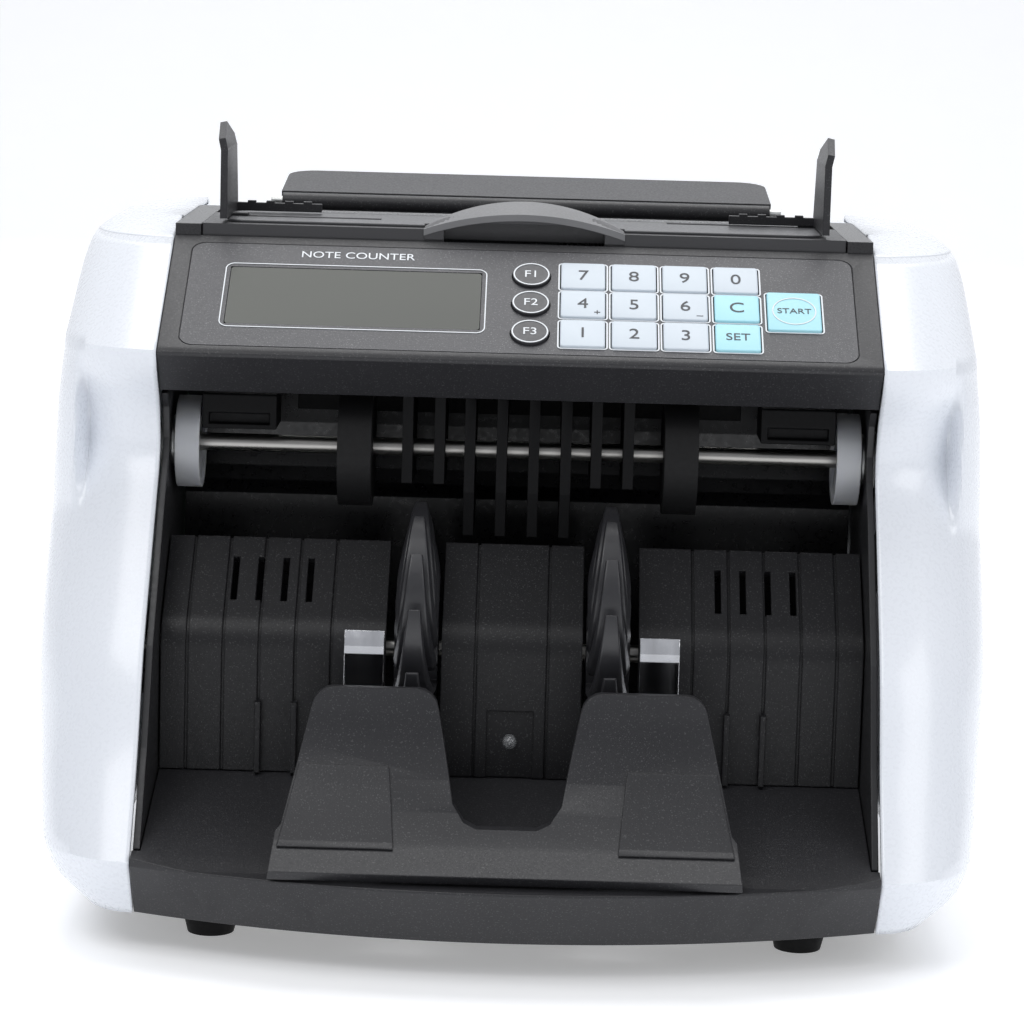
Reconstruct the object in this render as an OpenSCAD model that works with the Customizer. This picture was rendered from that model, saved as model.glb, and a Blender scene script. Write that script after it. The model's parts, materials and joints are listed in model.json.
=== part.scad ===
// Desktop banknote counter: hopper on top, keypad panel, open delivery bay with stacker wheels.
// +X right, +Y to the rear, +Z up. Origin on the table under the middle of the machine.

/* [Machine] */
// Overall depth, front lip to rear panel
body_depth = 245; // [244:0.5:246]
// Half width of the open note bay
bay_half = 100; // [99.9:0.1:100.5]
// Height of the underside above the table
ground_gap = 11; // [9:0.5:11]
// Wall of the moulded covers
cover_wall = 2.5; // [2:0.1:3]
// Wall of the black inner mouldings
frame_wall = 2.4; // [2:0.1:2.6]

/* [Panel] */
// Key width
key_w = 12.5; // [11:0.1:12.8]
// Key depth along the panel
key_d = 12.1; // [11:0.1:12.4]
// Column spacing of the keys
key_pitch_x = 14.4; // [14.2:0.1:14.6]
// Row spacing of the keys
key_pitch_s = 13.2; // [13:0.1:13.4]
// Diameter of the three round buttons
round_key_d = 10.6; // [9:0.1:11]
// How far a key stands out of the panel
key_proud = 0.8; // [0.6:0.1:1.2]

/* [Hopper] */
// Half distance between the side guides as set
guide_half = 85.2; // [85:0.1:85.4]
// Height of the guide fins above the deck
fin_height = 23; // [16:1:24]
// Pitch radius of the pinion that links the guides
pinion_r = 6; // [5.95:0.05:6]

/* [Rollers] */
// Radius of the steel shafts
shaft_r = 2.5; // [2:0.5:2.5]
// Radius of the pale end discs
disc_r = 13; // [11:0.5:13]
// Radius of the wide rubber rollers on the front shaft
feed_roller_r = 17; // [14:0.5:17]
// Radius of the pickup rollers under the hopper throat
pickup_roller_r = 14; // [11:0.5:14]
// Tip radius of the bladed stacker wheels
wheel_r = 41.5; // [36:0.5:41.5]
// Number of blades on a stacker wheel
blades = 15; // [10:1:16]

/* [Hidden] */
front_y = -body_depth / 2;
rear_y = body_depth / 2;
fit = 0.3;                      // gap between separate mouldings
run = 0.05;                     // radial clearance of a shaft in its bearing
inner_half = bay_half - fit;    // half width of what lies between the side covers
panel_nose = [-50.8, 158.7];    // Y, Z of the panel's lower edge
panel_top = [-4.7, 186.8];      // Y, Z of the panel's upper edge
panel_angle = atan2(panel_top[1] - panel_nose[1], panel_top[0] - panel_nose[0]);
disc_x = 92.9;
pulley_r = 9;
lip_r = 260;                    // plan radius of the bowed front lip
lip_top = 26.6;
lip_lean = 10.4;                // how far the lip leans back down to its lower edge
floor_back = [-54.5, 41.9];     // Y, Z of the tray floor's rear edge
floor_front = [-102.4, 27.6];
deck_z = 190.2;
feed_axis = [-20, 129.5];       // Y, Z of the shaft across the bay
pickup_axis = [24, 160];
motor_axis = [62, 78];
wheel_axis = [-40, 75.5];
side_plate_x = 98.6;
side_gap = 97.4;                // half width of what lies between the side plates
wheel_x = 26.6;
wheel_w = 12.4;
support_hinge = [69, 192];
lid_hinge = [37.6, 187];
switch_axis = [116.5, 48];      // Y, Z of the rocker's pivot

charcoal = [0.16, 0.16, 0.17];
satin_black = [0.09, 0.09, 0.1];
soft_white = [0.9, 0.92, 0.95];
steel = [0.72, 0.73, 0.75];
nylon = [0.86, 0.86, 0.9];
key_grey = [0.84, 0.88, 0.92];
key_cyan = [0.66, 0.88, 0.93];
board_green = [0.12, 0.36, 0.22];

// ---- helpers ----

// straight-line lookup of y at x in a list of [x, y] pairs sorted by x
function look(x, t, i = 0) =
    x <= t[0][0] ? t[0][1] :
    i >= len(t) - 1 ? t[len(t) - 1][1] :
    x <= t[i + 1][0] ? t[i][1] + (t[i + 1][1] - t[i][1]) * (x - t[i][0]) / (t[i + 1][0] - t[i][0]) :
    look(x, t, i + 1);

// points of an arc about c from angle a to b
function arc(c, r, a, b, n = 6) =
    [for (i = [0:n]) let (q = a + (b - a) * i / n) c + r * [cos(q), sin(q)]];

// extrudes a Y-Z outline along X, centred
module along_x(w) {
    rotate([90, 0, 90]) linear_extrude(w, center = true) children();
}

// a shaft or roller along X with its middle at x and its axis at [y, z]
module rod(x, axis, r, w) {
    translate([x, axis[0], axis[1]]) rotate([0, 90, 0]) cylinder(h = w, r = r, center = true, $fn = 64);
}

// local frame on the sloped panel: X across, Y up the slope from the nose, Z out of the panel
module on_panel() {
    translate([0, panel_nose[0], panel_nose[1]]) rotate([panel_angle, 0, 0]) children();
}

module rounded_box(size, r) {
    linear_extrude(size[2]) rounded_rect([size[0], size[1]], r);
}

// rectangle with true corner arcs, centred
module rounded_rect(size, r) {
    square([size[0] - 2 * r, size[1]], center = true);
    square([size[0], size[1] - 2 * r], center = true);
    for (i = [-1, 1], j = [-1, 1])
        translate([i * (size[0] / 2 - r), j * (size[1] / 2 - r)]) circle(r, $fn = 32);
}

module both_sides() {
    children();
    mirror([1, 0, 0]) children();
}

// ---- white covers: stacked plan curves ----

// Y of the front edge at height z
front_edge = [[11, -92], [27.6, -102.4], [52.3, -86.2], [78.2, -74.3], [101.4, -57.2], [112.4, -48.7],
              [124.7, -38.9], [131.3, -36.4], [140.6, -39.2], [155, -50], [158.7, -50.8], [186, -6.2],
              [187.8, 2], [189.4, 10], [190.4, 18]];
// Y of the rear edge at height z
rear_edge = [[11, 112], [20, 119], [30, 122.5], [165, 122.5], [180, 119], [186, 112], [190.4, 96]];
// how far the side bulges out past the bay's wall
bulge = [[11, 14], [20, 25], [32, 28], [45, 30], [75, 32.8], [108, 33.4], [140, 31.6], [158, 29.4], [177, 28],
         [184, 26.4], [187.4, 23.6], [189.4, 19], [190.4, 14]];
rim_edge = -50.3;               // Y of the thin rim outside the scoop under the nose
front_round = 46;               // how far back the front corner keeps curving
rear_round = 26;

// Y of the front surface at distance u out from the bay's wall
function front_surface(z, u) =
    let (w = look(z, bulge), e = look(z, front_edge),
         scooped = z > 110 && z < 158, o = scooped ? min(e, rim_edge) : e,
         s = u < 20 ? 1 : u > 25 ? 0 : (25 - u) / 5)
    o + front_round * (1 - sqrt(max(0, 1 - pow(u / w, 2)))) * (w / 36) + (e - o) * s;

// plan curve at height z, from the front rim round the side to the rear rim
function plan_curve(z) =
    let (w = look(z, bulge), r = look(z, rear_edge))
    concat([for (k = [0, 0.35, 0.58, 0.7, 0.77, 0.85, 0.93, 0.98, 1]) [w * k, front_surface(z, w * k)]],
           [[w, 40]],
           [for (a = [0:18:90]) [w - rear_round / 2 * (1 - cos(a)), r - rear_round * (1 - sin(a))]],
           [[0, r]]);

function unit(v) = v / max(norm(v), 0.001);

// the plan curve moved inwards by the wall
function inner_curve(c) = [for (i = [0:len(c) - 1])
    let (a = c[max(i - 1, 0)], b = c[min(i + 1, len(c) - 1)], t = unit(b - a))
    i == 0 ? c[0] + [0, cover_wall] :
    i == len(c) - 1 ? c[i] - [0, cover_wall] :
    [max(0.2 + c[i][0] - t[1] * cover_wall, 0.2), c[i][1] + t[0] * cover_wall]];

// shell through the plan curves at the given heights, with a roof if closed
module cover_shell(levels, closed) {
    curves = [for (z = levels) plan_curve(z)];
    n = len(curves[0]);
    m = len(levels);
    outer = [for (k = [0:m - 1], p = curves[k]) [bay_half + p[0], p[1], levels[k]]];
    rise = levels[m - 1] - levels[0];
    squeeze = closed ? (rise - cover_wall) / rise : 1;
    inner = [for (k = [0:m - 1], p = inner_curve(curves[k]))
        [bay_half + p[0], p[1], levels[0] + (levels[k] - levels[0]) * squeeze]];
    o = n * m;
    skin = [for (k = [0:m - 2], i = [0:n - 2])
        let (a = k * n + i, b = a + 1, c = a + n, d = c + 1)
        each [[a, c, b], [b, c, d], [o + a, o + b, o + c], [o + b, o + d, o + c]]];
    ends = [for (k = [0:m - 2])
        let (a = k * n, c = a + n, b = a + n - 1, d = b + n)
        each [[a, o + a, c], [c, o + a, o + c], [b, d, o + b], [d, o + d, o + b]]];
    foot = [for (i = [0:n - 2]) each [[i, i + 1, o + i], [i + 1, o + i + 1, o + i]]];
    t = (m - 1) * n;
    head = closed
        ? [[for (i = [n - 1:-1:0]) t + i], [for (i = [0:n - 1]) o + t + i],
           [t, o + t, o + t + n - 1, t + n - 1]]
        : [for (i = [0:n - 2])
               each [[t + i, o + t + i, t + i + 1], [t + i + 1, o + t + i, o + t + i + 1]]];
    polyhedron(concat(outer, inner), concat(skin, ends, foot, head), convexity = 8);
}

side_levels = [11, 15.5, 20, 27.6, 36, 45, 52.3, 65, 78.2, 90, 101.4, 112.4, 118, 124.7, 131.3, 137, 143,
               149, 155, 158.7, 168, 177, 185.8];
shoulder_levels = [186.1, 187.4, 188.6, 189.4, 190, 190.4];

module right_side_cover() {
    color(soft_white) cover_shell(side_levels, false);
}

module left_side_cover() {
    mirror([1, 0, 0]) right_side_cover();
}

module top_shoulders() {
    color(soft_white) both_sides() cover_shell(shoulder_levels, true);
}

module rear_cover() {
    outline = [[112, 11], [119, 20], [rear_y, 30], [rear_y, 165], [119, 178], [111, 186], [98, 188.7],
               [69.4, 188.7], [69.4, 186.4], [97, 186.4], [109, 184], [116.5, 177], [120, 164],
               [120, 31], [117, 21.5], [110, 13.5], [110, 11]];
    color(soft_white) difference() {
        along_x(2 * inner_half) polygon(outline);
        translate([60, rear_y, 48]) cube([28.2, 20, 22.2], center = true);
        translate([60, rear_y, 48]) cube([31.4, 3, 25.4], center = true);
        translate([30, rear_y, 48]) cube([13.6, 20, 20.6], center = true);
        for (q = screw_places) translate([q[0], rear_y, q[1]]) rotate([90, 0, 0]) {
            cylinder(h = 12, r = 1.5, center = true, $fn = 32);
            cylinder(h = 3, r = 3.2, center = true, $fn = 48);
        }
        for (i = [-4:4]) translate([-50 + i * 6, rear_y, 60]) cube([2.4, 20, 40], center = true);
    }
}

// ---- base and tray ----

module lip_solid(inset) {
    translate([0, front_y + lip_r, 0]) {
        translate([0, 0, ground_gap - 0.01]) cylinder(h = lip_top - ground_gap + 0.01,
            r1 = lip_r - lip_lean - inset, r2 = lip_r - inset, $fn = 180);
        translate([0, 0, lip_top - 0.01]) cylinder(h = 40, r = lip_r - inset, $fn = 180);
    }
}

module base_tray() {
    w = frame_wall;
    roof = [[-140, ground_gap], [-140, lip_top + 0.6], [floor_front[0] - 6, lip_top + 0.6], floor_back,
            [floor_back[0] + 3, floor_back[1]], [floor_back[0] + 3, ground_gap]];
    room = [[-140, ground_gap - 1], [-140, lip_top - w], [floor_front[0] - 6, lip_top - w],
            [floor_back[0] + 3 - w, floor_back[1] - w], [floor_back[0] + 3 - w, ground_gap - 1]];
    color(satin_black) difference() {
        union() {
            intersection() {
                along_x(2 * inner_half) polygon(roof);
                lip_solid(0);
            }
            translate([-97, -54, ground_gap]) cube([194, 160, w]);
            for (s = [-1, 1]) translate([s * 95.8 - w / 2, -54, ground_gap]) cube([w, 160, 18]);
        }
        intersection() {
            along_x(2 * (side_gap - w)) polygon(room);
            lip_solid(w);
        }
        both_sides() translate([slot_in, -84, 26]) cube([slot_out - slot_in, 40, 30]);
        both_sides() translate([side_gap, 0, 0])
            rotate([90, 0, 90]) linear_extrude(10)
                polygon([[-89, 10], [-91, 14], [-98.5, 30], [-98.5, 60], [140, 60], [140, 10]]);
    }
}

module bottom_plate() {
    color(steel) difference() {
        translate([-93, -48, ground_gap + frame_wall]) cube([186, 148, 1.2]);
        for (i = [-5:5]) translate([i * 12 - 2, 10, ground_gap]) cube([4, 40, 8]);
    }
}

module feet() {
    color(satin_black) for (x = [-81, 81], y = [-68, 92]) translate([x, y, 0]) {
        cylinder(h = 3, r1 = 6.4, r2 = 7.15, $fn = 48);
        translate([0, 0, 3]) cylinder(h = ground_gap - 3, r = 7.15, $fn = 48);
    }
}

module side_plate_outline() {
    polygon([[-90, 15], [-97, 30], [-82, 54], [-70, 80], [-53, 103], [-45, 114], [-35, 126], [-32.8, 132],
             [-35, 141], [-38.8, 145.2], [-29.6, 148.6], [-8.2, 173], [-3.6, 177.6], [-3.6, 183], [60, 183],
             [66, 150], [104, 120], [104, 15]]);
}

module right_side_plate() {
    t = 1.8;
    color(satin_black) difference() {
        translate([side_plate_x, 0, 0]) along_x(t) side_plate_outline();
        for (a = [feed_axis, pickup_axis, wheel_axis, motor_axis]) rod(side_plate_x, a, 7.3, 10);
    }
}

module left_side_plate() {
    mirror([1, 0, 0]) right_side_plate();
}

module shaft_bearings() {
    color(steel) both_sides() for (a = [feed_axis, pickup_axis, wheel_axis])
        difference() {
            union() {
                rod(98.9, a, 7.25, 3.6);
                rod(100.3, a, 8.6, 1);
            }
            rod(side_plate_x, a, shaft_r + run, 12);
        }
}

// ---- control head ----

key_columns = [17, 31.3, 45.6, 60];
key_rows = [12, 25.4, 38.5];
round_key_x = 2.4;
start_pos = [76, 24.6];
start_size = [15, 17.5];
lcd_pos = [-47, 26.2];
lcd_size = [71, 26.4];
recess = 0.4;                   // the printed overlay lies flush in this recess

module key_windows(grow) {
    for (x = key_columns, s = key_rows) translate([x, s]) square([key_w + grow, key_d + grow], center = true);
    translate(start_pos) square([start_size[0] + grow, start_size[1] + grow], center = true);
    for (s = key_rows) translate([round_key_x, s]) circle(d = round_key_d + grow, $fn = 48);
}

module head_section() {
    n = panel_nose;
    t = panel_top;
    along_x(2 * inner_half) polygon([t, n + [1.4, 0.85], n + [0.5, 0.1], n + [0.1, -0.6], n + [0.3, -1.5],
        [-41.5, 146.5], [-30, 150], [-9, 174], [-4.7, 178]]);
}

module control_head() {
    color(charcoal) difference() {
        head_section();
        along_x(2 * (inner_half - frame_wall)) polygon([[-7.1, 182.3], [-46.5, 157.8], [-40, 149.3],
                 [-31, 152.2], [-10.4, 174.8], [-7.1, 178.4]]);
        on_panel() {
            translate([-0.5, 26.6, -recess]) rounded_box([187.6, 47.8, 5], 4);
            translate([0, 0, -8]) linear_extrude(20) key_windows(0.6);
            translate([lcd_pos[0], lcd_pos[1], -4]) linear_extrude(8) square(lcd_size, center = true);
        }
    }
}

module panel_overlay() {
    color([0.2, 0.2, 0.21]) on_panel() translate([0, 0, -recess]) difference() {
        translate([-0.5, 26.6, 0]) rounded_box([187.2, 47.4, recess], 4);
        translate([0, 0, -1]) linear_extrude(3) {
            key_windows(0.5);
            translate(lcd_pos) square(lcd_size, center = true);
        }
    }
}

module lcd_window() {
    color([0.3, 0.32, 0.3]) on_panel() translate([lcd_pos[0], lcd_pos[1], -1.6])
        rounded_box([lcd_size[0] - 0.3, lcd_size[1] - 0.3, 1.5], 1);
}

module lcd_module() {
    color([0.45, 0.48, 0.4]) on_panel() translate([lcd_pos[0], lcd_pos[1], -5.2]) {
        translate([-34, -11.5, 0.4]) cube([68, 23, 3]);
        translate([-38, -14, -1]) cube([76, 28, 1.4]);
    }
}

module keypad_board() {
    color(board_green) on_panel() translate([-5, 8, -6.6]) cube([90, 36, 1.5]);
}

key_depth = 3.4;                // how far a key reaches below the panel's face

// a square key, which travels straight into the panel
module square_key(size, c) {
    color(c) translate([0, 0, -key_depth]) rounded_box([size[0], size[1], key_depth + key_proud], 0.8);
}

module key_at(col, row, c = key_grey) {
    on_panel() translate([key_columns[col], key_rows[row], 0]) square_key([key_w, key_d], c);
}

module round_key(row) {
    color(charcoal) on_panel() translate([round_key_x, key_rows[row], -key_depth])
        cylinder(h = key_depth + key_proud, d = round_key_d, $fn = 48);
}

module start_key() {
    on_panel() translate([start_pos[0], start_pos[1], 0]) square_key(start_size, key_cyan);
}

// ---- hopper ----

throat = [39, 65];              // front and rear Y of the note throat

module hopper_frame() {
    color(charcoal) {
        difference() {
            translate([-inner_half, -4.4, 184]) cube([2 * inner_half, 73.4, 6]);
            translate([-92.4, -20, 180]) cube([184.8, 20 + throat[1], 20]);
            rod(0, lid_hinge, 1.2, 192);
            translate([-76, 65, 187.4]) cube([152, 10, 10]);
            rod(0, support_hinge, 1.5, 156);
        }
        translate([-91, throat[1] - 2.4, 166]) cube([182, 2.4, 20]);
    }
}

arch_half = 28.6;
arch_front = [-4.1, 4.6];       // Y, and rise above the deck, of the finger arch's front edge
arch_back = [7.3, 7.6];
arch_wall = 1.9;

// radius of the arc that crosses the deck at the arch's ends and rises by the given height
function arch_radius(rise) = (pow(arch_half, 2) + pow(rise, 2)) / (2 * rise);

// one thin slice of the arch at [y, rise], drawn in by the given amount
module arch_slice(at, inset, w) {
    r = arch_radius(at[1]);
    translate([0, at[0], deck_z + at[1] - r]) rotate([90, 0, 0])
        cylinder(h = w, r = r - inset, center = true, $fn = 180);
}

module hopper_lid() {
    color(charcoal) difference() {
        union() {
            translate([-92, -3.8, 187]) cube([184, 42.2, 3.2]);
            translate([-92, -3.8, 184]) cube([184, 2, 3.2]);
            both_sides() rod(90.2, lid_hinge, 2.6, 3.2);
            intersection() {
                hull() {
                    arch_slice(arch_front, 0, 0.02);
                    arch_slice(arch_back, 0, 0.02);
                }
                translate([-arch_half, -20, 187.2]) cube([2 * arch_half, 40, 20]);
            }
        }
        intersection() {
            arch_slice(arch_front, arch_wall, 30);
            translate([0, -6.8, 188.2]) rotate([-90, 0, 0]) rounded_box([46, 8, 8], 2);
        }
        guide_slots();
        for (s = [-1, 1]) rod(s * 90, lid_hinge, 1.2 + run, 12);
    }
}

// the pins at the lid's rear corners and at the ends of the folding support
module hinge_pins() {
    color(steel) both_sides() {
        rod(92.5, lid_hinge, 1.2, 7);
        rod(73, support_hinge, 1.5, 10);
    }
}

module guide_slots() {
    translate([42, 30.6, 170]) cube([46.3, 5.4, 30]);
    translate([-88.3, 15.6, 170]) cube([46.3, 5.4, 30]);
}

module deck_plate() {
    color([0.24, 0.24, 0.25]) difference() {
        translate([0, 19.6, deck_z]) rounded_box([172, 36, 0.8], 5);
        translate([-arch_half - 0.2, -5, deck_z - 1]) cube([2 * arch_half + 0.4, 12.6, 3]);
        guide_slots();
    }
}

// rack teeth of module 2 * pinion_r / 12 along X from x0 to x1
rack_pitch = PI * pinion_r / 6;

module rack(x0, x1, phase) {
    difference() {
        translate([x0, 0, 0]) cube([x1 - x0, 4.6, 3.4]);
        for (i = [ceil(x0 / rack_pitch):floor(x1 / rack_pitch)])
            translate([(i + phase) * rack_pitch, -0.01, -1]) linear_extrude(6)
                polygon([[-1.15, 0], [1.15, 0], [0.6, 2.2], [-0.6, 2.2]]);
    }
}

module guide_fin() {
    t = 2;
    translate([guide_half, -3, 191.5]) rotate([90, 0, 90]) linear_extrude(t)
        polygon([[0, 0], [38, 0], [31, fin_height - 3], [0, fin_height - 3]]);
    translate([guide_half, -3, 188.5 + fin_height - 0.3]) rotate([0, 12, 0]) rotate([90, 0, 90])
        linear_extrude(t) polygon([[0, -0.4], [31, -0.4], [29.5, 3.4], [14, 7.6], [0, 3.4]]);
    translate([guide_half - 25, 30.8, 191.5]) cube([26, 2.4, 2.4]);
    for (i = [0:3]) translate([guide_half - 22 + i * 5.5, 30.8, 193.5]) cube([2.4, 2.4, 1]);
}

module right_guide() {
    color(charcoal) {
        guide_fin();
        translate([guide_half - 4.4, 31.2, 182.8]) cube([5.6, 4.4, 9]);
        translate([0, 31.2, 182.4]) rack(-10, guide_half, 0.5);
    }
}

module left_guide() {
    color(charcoal) {
        mirror([1, 0, 0]) guide_fin();
        translate([-guide_half - 1.2, 16.2, 182.8]) cube([5.6, 4.4, 9]);
        translate([0, 20.6, 182.4]) rotate([0, 0, 180]) rack(-10, guide_half, 0.5);
    }
}

module guide_pinion() {
    teeth = 12;
    color(nylon) translate([0, 25.9, 182.6]) {
        cylinder(h = 3, r = pinion_r - 1.4, $fn = 48);
        for (i = [0:teeth - 1]) rotate(i * 360 / teeth + 15) linear_extrude(3)
            polygon([[pinion_r - 2, -0.9], [pinion_r + 0.5, -0.35], [pinion_r + 0.5, 0.35],
                     [pinion_r - 2, 0.9]]);
        cylinder(h = 4, r = 2, $fn = 32);
    }
}

module rear_support() {
    color(charcoal) difference() {
        union() {
            translate([0, support_hinge[0], support_hinge[1] - 2.2]) rotate([6, 0, 0])
                linear_extrude(5) support_outline();
            rod(0, support_hinge, 2.6, 149);
        }
        both_sides() rod(73, support_hinge, 1.5 + run, 12);
    }
}

module support_outline() {
    polygon(concat([[-75, 2], [75, 2]], arc([66, 32], 9, 0, 90), arc([-66, 32], 9, 90, 180)));
}

screw_places = [[-88, 24], [88, 24], [-88, 150], [88, 150]];

// screws that hold the rear cover, heads in shallow counterbores
module cover_screws() {
    color(steel) for (q = screw_places)
        translate([q[0], 121, q[1]]) rotate([90, 0, 0]) difference() {
        union() {
            cylinder(h = 8, r = 1.5, $fn = 32);
            translate([0, 0, -1.2]) cylinder(h = 1.2, r = 3, $fn = 48);
        }
        for (a = [0, 90]) rotate(a) translate([0, 0, -1.2]) cube([3.6, 0.7, 1.2], center = true);
    }
}

// ---- note bay ----

stack_face = -54.5;
plate_top = [-30, 104];
bend_r = 12;
bend_c = [stack_face + bend_r, 76.3];
slope_angle = 129;              // direction of the upper slope's outward normal, from +Y
slot_in = 19.5;
slot_out = 35;

// front line of the stack plate moved back into the sheet by t
function stack_line(t) = concat([[stack_face + t, 42.2]], arc(bend_c, bend_r - t, 180, slope_angle, 6),
                                [plate_top - t * [cos(slope_angle), sin(slope_angle)]]);

function reversed(v) = [for (i = [len(v) - 1:-1:0]) v[i]];

module stack_sheet(front, back) {
    polygon(concat(stack_line(front), reversed(stack_line(back))));
}

module stack_plate() {
    color(satin_black) difference() {
        union() {
            along_x(194.4) stack_sheet(0, frame_wall);
            for (x = [60, 70], s = [-1, 1])
                translate([s * x - 0.8, stack_face - 2.4, 42.2]) cube([1.6, 3, 20]);
        }
        for (x = [50, 60, 70, 80, 90], s = [-1, 1])
            translate([s * x, 0, 0]) along_x(0.8) stack_sheet(-3, 0.7);
        for (x = [-10, 10]) translate([x, 0, 0]) along_x(0.8) stack_sheet(-3, 0.7);
        for (s = [-1, 1]) translate([s * (slot_in + slot_out) / 2, -45, 110])
            cube([slot_out - slot_in, 60, 150], center = true);
        for (s = [-1, 1], x = [57, 64, 71, 78])
            translate([s * x, -41, 94]) cube([1.8, 12, 30], center = true);
        translate([-6.5, stack_face - 2, 41]) cube([13, 3, 20]);
        translate([0, stack_face, 52.5]) rotate([90, 0, 0])
            cylinder(h = 20, r = 2.2, center = true, $fn = 32);
    }
}

module wear_strips() {
    face = concat([[stack_face - 0.7, 43]], arc(bend_c, bend_r + 0.7, 180, 150, 3));
    back = concat([[stack_face - 0.05, 43]], arc(bend_c, bend_r + 0.05, 180, 150, 3));
    color(steel) both_sides() translate([40.9, 0, 0]) along_x(11) polygon(concat(face, reversed(back)));
}

// Y-Z centre line of the paddle sheet, from its foot on the lip up to its top edge
paddle_line = [[-117.5, 29.2], [-108, 35.4], [-100.5, 42.4], [-94.6, 50], [-90.4, 58.2], [-88, 66.4],
               [-87.2, 74]];
paddle_t = 3;

module paddle_sheet(grow) {
    n = len(paddle_line);
    side = [for (i = [0:n - 1]) let (a = paddle_line[max(i - 1, 0)], b = paddle_line[min(i + 1, n - 1)],
        t = unit(b - a)) [t[1], -t[0]] * paddle_t / 2];
    along_x(140) polygon(concat([for (i = [0:n - 1]) paddle_line[i] - side[i] - [grow, -grow * 0.4]],
                                [for (i = [n - 1:-1:0]) paddle_line[i] + side[i]]));
}

// front view of the two paddles with the finger gap between them
module paddle_outline() {
    half = concat([[0, 26], [62.5, 26], [61, 38.5], [59.6, 40]], arc([47, 68], 6, 8, 90, 4),
                  arc([25, 68], 6, 90, 176, 4), [[14.5, 45.5]], [[11.5, 41.4], [8, 40], [0, 40]]);
    polygon(half);
    mirror([1, 0]) polygon(half);
}

module stacker_plate() {
    color(charcoal) {
        intersection() {
            paddle_sheet(0);
            translate([0, -60, 0]) rotate([90, 0, 0]) linear_extrude(80) paddle_outline();
        }
        intersection() {
            paddle_sheet(0.5);
            translate([0, -60, 0]) rotate([90, 0, 0]) linear_extrude(80) for (m = [0, 1]) mirror([m, 0])
                polygon([[29.6, 35.5], [60.2, 35.5], [55.7, 54], [31.8, 54]]);
        }
    }
}

// radius and angle along a blade, k from 0 at the hub to 1 at the tip
function blade_r(k) = 12 + (wheel_r - 12) * (1 - pow(1 - k, 1.3));
function blade_a(k) = -62 * pow(k, 1.15);

// one swept blade of a stacker wheel, trailing against the turn
module blade() {
    steps = 8;
    face = [for (i = [0:steps]) let (k = i / steps) blade_r(k) * [cos(blade_a(k)), sin(blade_a(k))]];
    back = [for (i = [steps:-1:0])
        let (k = i / steps, a = blade_a(k) - 2 - 4 * (1 - k))
        (blade_r(k) - 1.5) * [cos(a), sin(a)]];
    polygon(concat(face, back));
}

module stacker_wheels() {
    color(satin_black) both_sides() translate([wheel_x, wheel_axis[0], wheel_axis[1]]) rotate([90, 0, 90])
        difference() {
            linear_extrude(wheel_w, center = true) {
                circle(13, $fn = 64);
                for (i = [0:blades - 1]) rotate(i * 360 / blades) blade();
            }
            cylinder(h = 30, r = shaft_r, center = true, $fn = 64);
        }
}

module stacker_shaft() {
    color(steel) rod(-2.5, wheel_axis, shaft_r, 209);
}

module stacker_motor() {
    color([0.3, 0.3, 0.32]) difference() {
        rod(-112.4, wheel_axis, 15, 18);
        rod(-104, wheel_axis, shaft_r + run, 9);
    }
}

module feed_shaft() {
    color(steel) {
        rod(2.5, feed_axis, shaft_r, 211);
        rod(107, feed_axis, pulley_r, 6);
    }
}

module feed_rollers() {
    color(satin_black) both_sides() difference() {
        rod(45.8, feed_axis, feed_roller_r, 9.5);
        rod(45.8, feed_axis, shaft_r, 12);
    }
}

module end_discs() {
    color(nylon) both_sides() difference() {
        rod(disc_x, feed_axis, disc_r, 6.8);
        rod(disc_x, feed_axis, shaft_r, 12);
        rod(disc_x - 3.4, feed_axis, disc_r - 2.2, 2);
    }
}

module pickup_shaft() {
    color(steel) {
        rod(2.5, pickup_axis, shaft_r, 211);
        rod(107, pickup_axis, pulley_r, 6);
    }
}

module pickup_rollers() {
    color(satin_black) both_sides() difference() {
        rod(34, pickup_axis, pickup_roller_r, 20);
        rod(34, pickup_axis, shaft_r, 24);
        for (a = [0:45:315]) translate([34, pickup_axis[0], pickup_axis[1]]) rotate([a, 0, 0])
            translate([0, 0, pickup_roller_r]) cube([24, 1.6, 2.4], center = true);
    }
}

module rib_guide() {
    color(satin_black) difference() {
        union() {
            for (x = [-13.5, -4.5, 4.5, 13.5]) translate([x, 0, 0])
                along_x(3) polygon([[-33, 119], [-29, 106], [-6, 104], [2, 112], [2, 147], [-33, 147]]);
            for (x = [22, 31], s = [-1, 1]) translate([s * x, 0, 0])
                along_x(3) polygon([[-33, 121], [-6, 119], [2, 121], [2, 147], [-33, 147]]);
            translate([-64, -0.5, 137]) cube([128, 2.4, 12]);
        }
        rod(0, feed_axis, shaft_r + 1.2, 160);
        translate([0, -20, 129.5]) for (s = [-1, 1]) translate([s * 45.8, 0, 0]) rotate([0, 90, 0])
            cylinder(h = 11, r = feed_roller_r + 1, center = true, $fn = 64);
    }
}

// curved plate behind and below the front shaft, down which the notes slide, and the bay's back wall
module back_guide() {
    w = frame_wall;
    outer = concat([[11.6, 147]], arc([-16, 126], 27, 12, -34, 5), [[6.4, 104], [6.4, 30]]);
    color([0.07, 0.07, 0.08]) along_x(194)
        polygon(concat(outer, reversed([for (q = outer) q + [w, q[1] > 104 ? -w * 0.3 : 0]])));
}

module sensor_blocks() {
    color(satin_black) both_sides() difference() {
        translate([68, -30, 134.6]) cube([21, 18, 10]);
        translate([70, -31, 136]) cube([17, 3, 3]);
    }
}

// ---- drive and electronics ----

module main_motor() {
    color([0.35, 0.36, 0.38]) {
        rod(70, motor_axis, 18, 48);
        rod(100, motor_axis, 2.5, 20);
        rod(107, motor_axis, 8, 6);
    }
}

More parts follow.
